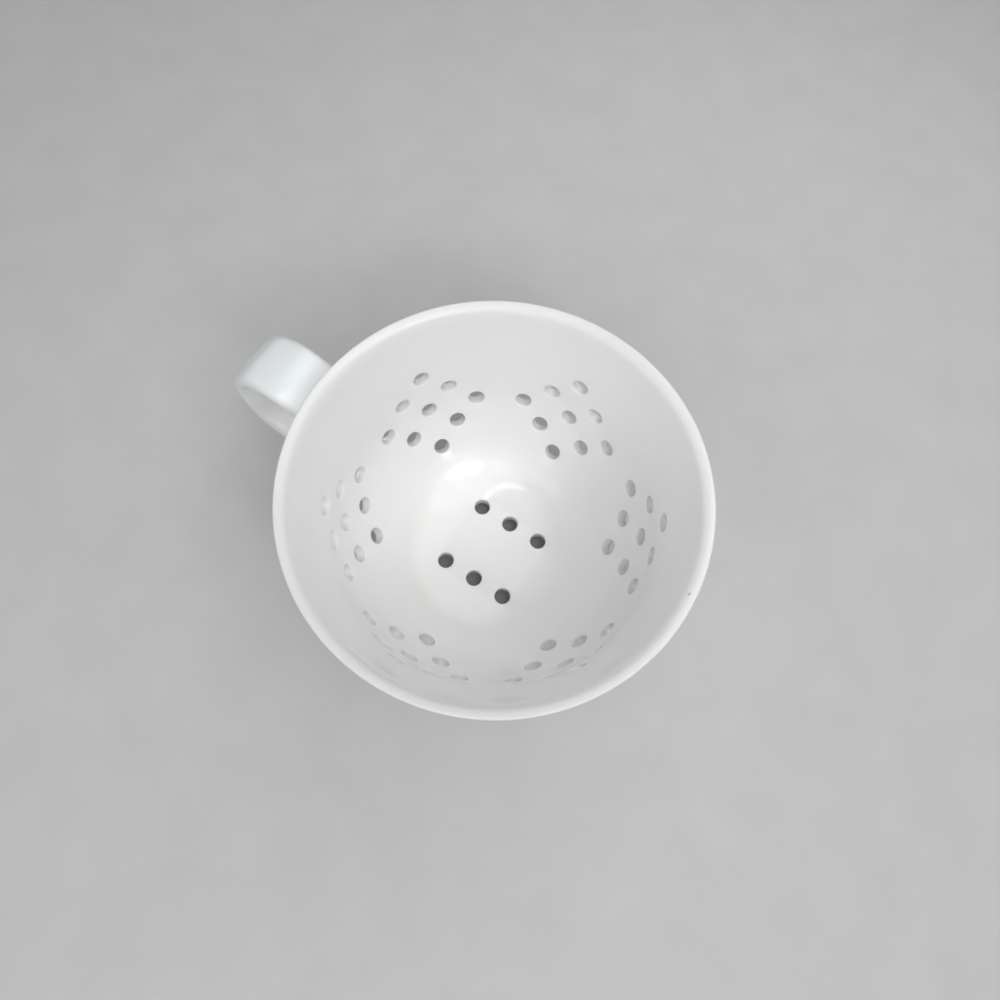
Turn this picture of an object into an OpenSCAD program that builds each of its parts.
// Berry colander: a deep round porcelain bowl with groups of drain holes,
// a plain foot ring and one strap handle luted to the wall.
// The foot stands on z = 0, the bowl's axis is Z and the handle points along +X.

/* [Bowl] */
// Outside diameter across the rolled rim
rim_d = 124; // [112:1:136]
// Height from the standing edge of the foot to the top of the rim
bowl_h = 75; // [70:1:82]
// Thickness of the wall
wall_t = 4; // [3:0.1:5]
// Thickness of the rolled rim
rim_t = 3.4; // [2.6:0.1:4.4]
// Outward lean of the wall where it meets the rim, in degrees from upright
rim_lean = 23; // [10:1:35]
// Inside radius where the wall stands steepest
belly_r = 50.9; // [47:0.1:53]
// Height of the steepest part of the wall
belly_z = 44.6; // [40:0.2:50]
// Lean of the wall at its steepest part, in degrees from upright
belly_lean = 8; // [3:1:14]

/* [Floor] */
// Thickness of the floor inside the foot ring
floor_t = 4.6; // [3.5:0.1:6]
// Radius of the flat middle of the floor
floor_r = 18; // [14:0.5:21]

/* [Foot ring] */
// Outside diameter of the foot ring at the standing edge
foot_d = 57; // [50:0.5:62]
// Width of the foot ring
foot_w = 4.6; // [3.6:0.1:6]
// Height of the hollow under the floor
foot_h = 4.2; // [3:0.1:6]
// Radius of the two edges beside the standing face
foot_edge = 0.9; // [0.4:0.1:1.4]

/* [Drain holes] */
// Diameter of a drain hole
hole_d = 5.5; // [4:0.1:6.5]
// Number of groups of holes round the wall
hole_groups = 6; // [4:1:6]
// Distance along the wall from the rim to the first hole of a group
first_hole = 22.8; // [20:0.2:26]
// Distance along the wall from one row of a group to the next
row_gap = 8.4; // [7.4:0.1:9]
// Sideways distance from one column of a group to the next
column_gap = 8.6; // [7.6:0.1:9]
// Distance between the holes of a row in the floor
floor_gap = 12.2; // [10:0.1:13]
// Distance between the two rows of holes in the floor
floor_row_gap = 24.4; // [18:0.2:26]

/* [Handle] */
// Width of the strap
strap_w = 20.4; // [14:0.2:22]
// Thickness of the strap at its rounded edges
strap_t = 5; // [4:0.1:6]
// Rise of the strap's middle above its edges, on the outer face
strap_crown = 0.5; // [0.2:0.1:0.9]
// Height at which the middle of the strap leaves the wall
handle_top = 60; // [57:0.2:62]
// Upward slope of the top arm, in degrees
arm_slope = 21; // [12:1:26]
// Length of the top arm outside the wall
arm_l = 14.2; // [10:0.2:18]
// Radius of the upper bend, at the middle of the strap
upper_bend = 15.4; // [13:0.2:18]
// Turn of the upper bend, in degrees
upper_turn = 112; // [104:1:116]
// Radius of the grip between the two bends
grip_bend = 41; // [30:1:60]
// Turn of the grip, in degrees
grip_turn = 15; // [12:1:20]
// Radius of the lower bend
lower_bend = 11.6; // [9:0.2:14]
// Turn of the lower bend, in degrees
lower_turn = 66; // [60:1:70]

/* [Slip joints] */
// Spread of the slip round the strap where it meets the wall
joint_spread = 1.8; // [1:0.1:2.2]
// Length of the slip along the strap
joint_l = 3; // [2:0.1:4]

/* [Hidden] */
$fn = 96;

// Steps on the curves of the wall and round the rim
wall_steps = 9;
rim_steps = 7;
// Steps round the mass that trims the foot ring, the handle and the slip to the wall
trim_steps = 480;
// Length by which a cutting tool runs past the surface that it cuts
over = 4;
// Depth by which the strap and the slip are run into the wall before they are trimmed to it
bury = 7;
// Steps round each edge of the strap and across its crown
edge_steps = 10;
crown_steps = 8;
// Largest turn of one step in a bend of the strap, in degrees
bend_step = 6;
// Rounds of closing in on the length of the lower arm
reach_steps = 8;
// Steps in the slip's hollow, and its least spread, where it runs out on the strap
joint_steps = 5;
joint_feather = 0.15;

// Pull of the wall's curves at their ends, as lengths of their handles
floor_pull = 12;
belly_pull_down = 21.8;
belly_pull_up = 8.8;
rim_pull = 8.8;

floor_z = foot_h + floor_t;

// Unit vectors for a lean measured from upright, in the plane of radius and height
function along(lean) = [sin(lean), cos(lean)];
function across(lean) = [cos(lean), -sin(lean)];

// The middle of the rolled rim and the inner wall's end beside it
rim_mid = [rim_d / 2 - rim_t / 2, bowl_h - rim_t / 2];
rim_in = rim_mid - across(rim_lean) * rim_t / 2;
belly = [belly_r, belly_z];

// A cubic curve through four control points, and its direction
function cubic(p, t) = pow(1 - t, 3) * p[0] + 3 * pow(1 - t, 2) * t * p[1]
    + 3 * (1 - t) * t * t * p[2] + pow(t, 3) * p[3];
function cubic_dir(p, t) = pow(1 - t, 2) * (p[1] - p[0]) + 2 * (1 - t) * t * (p[2] - p[1])
    + t * t * (p[3] - p[2]);

// The inner wall in two curves: floor to belly, and belly to rim
lower_curve = [
    [floor_r, floor_z],
    [floor_r + floor_pull, floor_z],
    belly - along(belly_lean) * belly_pull_down,
    belly
];
upper_curve = [
    belly,
    belly + along(belly_lean) * belly_pull_up,
    rim_in - along(rim_lean) * rim_pull,
    rim_in
];

// One station of the wall: its point on the inside, its outward normal and its thickness
function station(curve, t, t0, t1) =
    let (d = cubic_dir(curve, t), n = [d[1], -d[0]] / norm(d))
    [cubic(curve, t), n, t0 + (t1 - t0) * t];
lower_wall = [for (i = [0:wall_steps]) station(lower_curve, i / wall_steps, floor_t, wall_t)];
upper_wall = [for (i = [1:wall_steps]) station(upper_curve, i / wall_steps, wall_t, rim_t)];
wall = concat(lower_wall, upper_wall);
inside = [for (s = wall) s[0]];
outside = [for (s = wall) s[0] + s[1] * s[2]];
last = len(wall) - 1;

// Distance along the inside from the floor up to each station
function run_to(i) = i == 0 ? 0 : run_to(i - 1) + norm(inside[i] - inside[i - 1]);
run = [for (i = [0:last]) run_to(i)];

// The station at a distance along the inside from the rim
function index_at(s) = max([for (i = [0:last - 1]) if (run[i] <= s) i]);
function wall_at(down) =
    let (s = run[last] - down, i = index_at(s), u = (s - run[i]) / (run[i + 1] - run[i]))
    wall[i] + (wall[i + 1] - wall[i]) * u;

// Radius of the outside at a height above the floor
function outside_index(z) = max([for (i = [0:last - 1]) if (outside[i][1] <= z) i]);
function outside_r(z) =
    let (i = outside_index(z), a = outside[i], b = outside[i + 1])
    a[0] + (b[0] - a[0]) * (z - a[1]) / (b[1] - a[1]);

// Lean of the outside at a height, in degrees from upright
function outside_lean(z) =
    let (i = outside_index(z), d = outside[i + 1] - outside[i])
    atan2(d[0], d[1]);

// The rolled rim, from the inside over the top to the outside
rim_roll = [for (i = [1:rim_steps - 1])
    let (a = 180 - rim_lean - 180 * i / rim_steps)
    rim_mid + [cos(a), sin(a)] * rim_t / 2];

bowl_outline = concat(
    [[0, floor_z]],
    inside,
    rim_roll,
    [for (i = [last:-1:0]) outside[i]],
    [[0, foot_h]]
);
mass_outline = concat(
    [[0, bowl_h + over], [rim_mid[0], bowl_h + over]],
    [rim_mid],
    [for (i = [last:-1:0]) outside[i]],
    [[0, foot_h]]
);

// Everything inside the outer surface of the bowl, which trims other pieces to the wall
module bowl_mass() {
    rotate_extrude($fn = trim_steps) polygon(mass_outline);
}

// A drain hole through the wall, square to it
module wall_hole(down, angle) {
    s = wall_at(down);
    lean = atan2(s[1][1], s[1][0]);
    rotate([0, 0, angle])
        translate([s[0][0], 0, s[0][1]])
            rotate([0, 90 - lean, 0])
                translate([0, 0, -over])
                    cylinder(d = hole_d, h = wall_t + 2 * over);
}

// One group: nine holes in a square that stands on its corner
module hole_group() {
    for (row = [-2:2]) {
        side = 2 - abs(row);
        down = first_hole + (row + 2) * row_gap;
        r = wall_at(down)[0][0];
        for (column = [-side:2:side]) {
            wall_hole(down, column * column_gap / r * 180 / PI);
        }
    }
}

module floor_holes() {
    for (x = [-1:1]) {
        for (side = [-1, 1]) {
            translate([x * floor_gap, side * floor_row_gap / 2, foot_h - over])
                cylinder(d = hole_d, h = floor_t + 2 * over);
        }
    }
}

module bowl() {
    color("whitesmoke")
    difference() {
        rotate_extrude() polygon(bowl_outline);
        for (g = [0:hole_groups - 1]) {
            rotate([0, 0, (g + 0.5) * 360 / hole_groups]) hole_group();
        }
        floor_holes();
    }
}

// The foot ring's section: upright sides and a flat standing face between two round edges
module foot_section() {
    outer = foot_d / 2;
    inner = outer - foot_w;
    translate([inner, foot_edge]) square([foot_w, floor_z]);
    translate([inner + foot_edge, 0]) square([foot_w - 2 * foot_edge, floor_z]);
    for (x = [inner + foot_edge, outer - foot_edge]) {
        translate([x, foot_edge]) circle(r = foot_edge, $fn = 32);
    }
}

module foot_ring() {
    color("gainsboro")
    difference() {
        rotate_extrude() foot_section();
        bowl_mass();
    }
}

// Headings of the strap's path, and the points where its lengths meet
grip_heading = arm_slope - upper_turn;
tail_heading = grip_heading - grip_turn;
low_heading = tail_heading - lower_turn;
function ahead(a) = [cos(a), sin(a)];
function aside(a) = [-sin(a), cos(a)];
function bend_point(p, a, r, turn) = p - r * aside(a) + r * aside(a - turn);

arm_start = [outside_r(handle_top), handle_top];
arm_end = arm_start + ahead(arm_slope) * arm_l;
upper_end = bend_point(arm_end, arm_slope, upper_bend, upper_turn);
grip_end = bend_point(upper_end, grip_heading, grip_bend, grip_turn);
lower_end = bend_point(grip_end, tail_heading, lower_bend, lower_turn);

// Length of the lower arm, from its bend to the wall, closed in by steps
function low_point(l) = lower_end + ahead(low_heading) * l;
function reach(l, n) = n == 0 ? l
    : reach((lower_end[0] - outside_r(low_point(l)[1])) / -cos(low_heading), n - 1);
low_start = low_point(reach(lower_end[0] - belly_r, reach_steps));

// Stations of the path, each a point and a heading
function bend_stations(p, a, r, turn) =
    let (n = ceil(turn / bend_step))
    [for (i = [1:n]) [bend_point(p, a, r, turn * i / n), a - turn * i / n]];
strap_stations = concat(
    [[arm_start - ahead(arm_slope) * bury, arm_slope], [arm_end, arm_slope]],
    bend_stations(arm_end, arm_slope, upper_bend, upper_turn),
    bend_stations(upper_end, grip_heading, grip_bend, grip_turn),
    bend_stations(grip_end, tail_heading, lower_bend, lower_turn),
    [[low_start + ahead(low_heading) * bury, low_heading]]
);

// The strap's section as points [across, out]: round edges and a crowned outer face.
// A spread makes it larger all round.
strap_flat = strap_w - strap_t;
function round_edge(side, r) = [for (i = [0:edge_steps])
    let (a = 180 * i / edge_steps - 90 * side)
    [side * strap_flat / 2 + r * cos(a), r * sin(a)]];
function crown(r) = [for (i = [1:crown_steps - 1])
    let (u = 1 - 2 * i / crown_steps)
    [strap_flat / 2 * u, r + strap_crown * (1 - u * u)]];
function strap_section(spread) =
    let (r = strap_t / 2 + spread)
    concat(round_edge(1, r), crown(r), round_edge(-1, r));

// A solid drawn through rings of points, closed by a fan at each end
function centre(ring) = [for (p = ring) 1 / len(ring)] * ring;
module loft(rings) {
    n = len(rings[0]);
    m = len(rings);
    points = concat([for (ring = rings) each ring], [centre(rings[0]), centre(rings[m - 1])]);
    sides = [for (k = [0:m - 2]) for (i = [0:n - 1])
        let (j = (i + 1) % n, low = k * n, high = low + n)
        each [[low + j, low + i, high + i], [low + j, high + i, high + j]]];
    first_cap = [for (i = [0:n - 1]) [m * n, i, (i + 1) % n]];
    last_cap = [for (i = [0:n - 1]) let (low = (m - 1) * n) [m * n + 1, low + (i + 1) % n, low + i]];
    polyhedron(points, concat(sides, first_cap, last_cap));
}

module strap() {
    loft([for (s = strap_stations)
        [for (q = strap_section(0))
            let (p = s[0] + aside(s[1]) * q[1])
            [p[0], q[0], p[1]]]]);
}

module handle() {
    color("white")
    difference() {
        strap();
        bowl_mass();
    }
}

// The slip pressed round the strap at the wall. It spreads in a quarter-round hollow
// that leans and bends with the wall. The strap leaves the wall at start with the
// heading leaving, and face is 1 where its outer face is up and -1 where it is down.
module slip(start, leaving, face) {
    forward = ahead(leaving);
    out = aside(leaving) * face;
    wall_r = start[0];
    upright = along(outside_lean(start[1]));
    skew = (upright * forward) / (upright * out);
    hollow = [for (i = [0:joint_steps]) 90 * i / joint_steps];
    rings = concat(
        [[-bury, joint_spread]],
        [for (a = hollow) [joint_l * (1 - cos(a)), joint_spread * (1 - sin(a))]]
    );
    difference() {
        loft([for (ring = rings)
            [for (q = strap_section(joint_feather + ring[1]))
                let (
                    y = q[0] * face,
                    ahead_by = ring[0] + skew * q[1] - y * y / (2 * wall_r),
                    p = start + forward * ahead_by + out * q[1]
                )
                [p[0], y, p[1]]]]);
        bowl_mass();
        strap();
    }
}

module upper_joint() {
    color("white") slip(arm_start, arm_slope, 1);
}

module lower_joint() {
    color("white") slip(low_start, low_heading + 180, -1);
}

bowl();
foot_ring();
handle();
upper_joint();
lower_joint();
